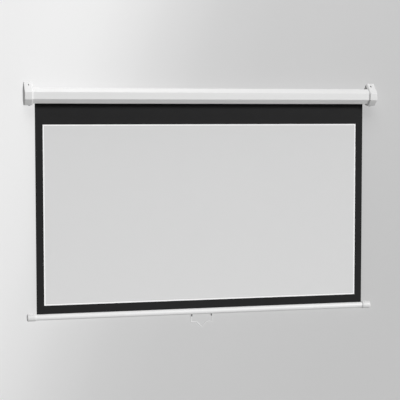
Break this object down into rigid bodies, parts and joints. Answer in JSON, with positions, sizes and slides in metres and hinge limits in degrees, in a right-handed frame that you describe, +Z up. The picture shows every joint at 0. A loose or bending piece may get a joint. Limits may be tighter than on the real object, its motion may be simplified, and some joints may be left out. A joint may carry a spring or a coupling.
{
  "type": "pull-down projector screen",
  "caption": "Wall-hung pull-down projector screen: eight-sided case with gabled end caps, spring roller, black-bordered cloth, round hem bar and a wire pull handle.",
  "frame": {"origin": "on the wall plane, midway between the two screws that the keyholes hang on", "axes": "+X along the case to the viewer's right, +Y into the wall, +Z up"},
  "size_m": [1.487, 0.076, 1.0165],
  "materials": {
    "case_paint": "satin white powder coat",
    "cap_plastic": "fine-textured moulded white",
    "cloth": "matt white picture with printed black borders",
    "cloth_back": "matt black",
    "handle_paint": "white coated wire",
    "dark_plastic": "moulded, dark grey",
    "nylon": "natural nylon",
    "zinc_steel": "zinc plated",
    "spring_steel": "dark oiled spring steel"
  },
  "bodies": {
    "housing": {"case_shell": "case_paint", "left_end_cap": "cap_plastic", "right_end_cap": "cap_plastic", "left_bracket_plate": "zinc_steel", "right_bracket_plate": "zinc_steel", "left_bracket_screw_lower": "zinc_steel", "left_bracket_screw_upper": "zinc_steel", "right_bracket_screw_lower": "zinc_steel", "right_bracket_screw_upper": "zinc_steel", "left_cap_screw": "zinc_steel", "right_cap_screw": "zinc_steel", "idle_bush": "nylon", "spring_rod": "zinc_steel", "ratchet_collar": "spring_steel", "spring_anchor": "dark_plastic"},
    "roller": {"roller_tube": "zinc_steel", "cloth_wraps": "cloth_back", "idle_plug": "dark_plastic", "idle_pin": "zinc_steel", "ratchet_head": "dark_plastic", "shaft_bush": "nylon", "torsion_spring": "spring_steel", "front_pawl_pin": "zinc_steel", "rear_pawl_pin": "zinc_steel"},
    "front_pawl": {"front_pawl": "zinc_steel"},
    "rear_pawl": {"rear_pawl": "zinc_steel"},
    "screen": {"cloth_sheet": "cloth", "hem_rod": "zinc_steel", "cloth_hem": "cloth_back", "hem_bar_tube": "case_paint", "left_bar_cap": "cap_plastic", "right_bar_cap": "cap_plastic", "left_handle_ear": "dark_plastic", "right_handle_ear": "dark_plastic"},
    "handle": {"pull_handle": "handle_paint"}
  },
  "joints": [
    {"name": "screen_travel", "type": "slide", "parent": "housing", "child": "screen", "axis": [0, 0, 1], "range_m": [0, 0.835], "deforming": ["cloth_sheet"]},
    {"name": "roller_spin", "type": "hinge", "parent": "housing", "child": "roller", "pos_m": [0, -0.04, -0.0187], "axis": [1, 0, 0], "range_deg": [0, 2340]},
    {"name": "front_pawl_swing", "type": "hinge", "parent": "roller", "child": "front_pawl", "pos_m": [0.7073, -0.0525, -0.0187], "axis": [1, 0, 0], "range_deg": [-12, 10]},
    {"name": "rear_pawl_swing", "type": "hinge", "parent": "roller", "child": "rear_pawl", "pos_m": [0.7073, -0.0275, -0.0187], "axis": [1, 0, 0], "range_deg": [-12, 10]},
    {"name": "handle_swing", "type": "hinge", "parent": "screen", "child": "handle", "pos_m": [-0.01065, -0.0209, -0.9296], "axis": [1, 0, 0], "range_deg": [-100, 100]}
  ],
  "couplings": [
    {"joint": "roller_spin", "follows": "screen_travel", "rad_per_m": 48.911}
  ]
}
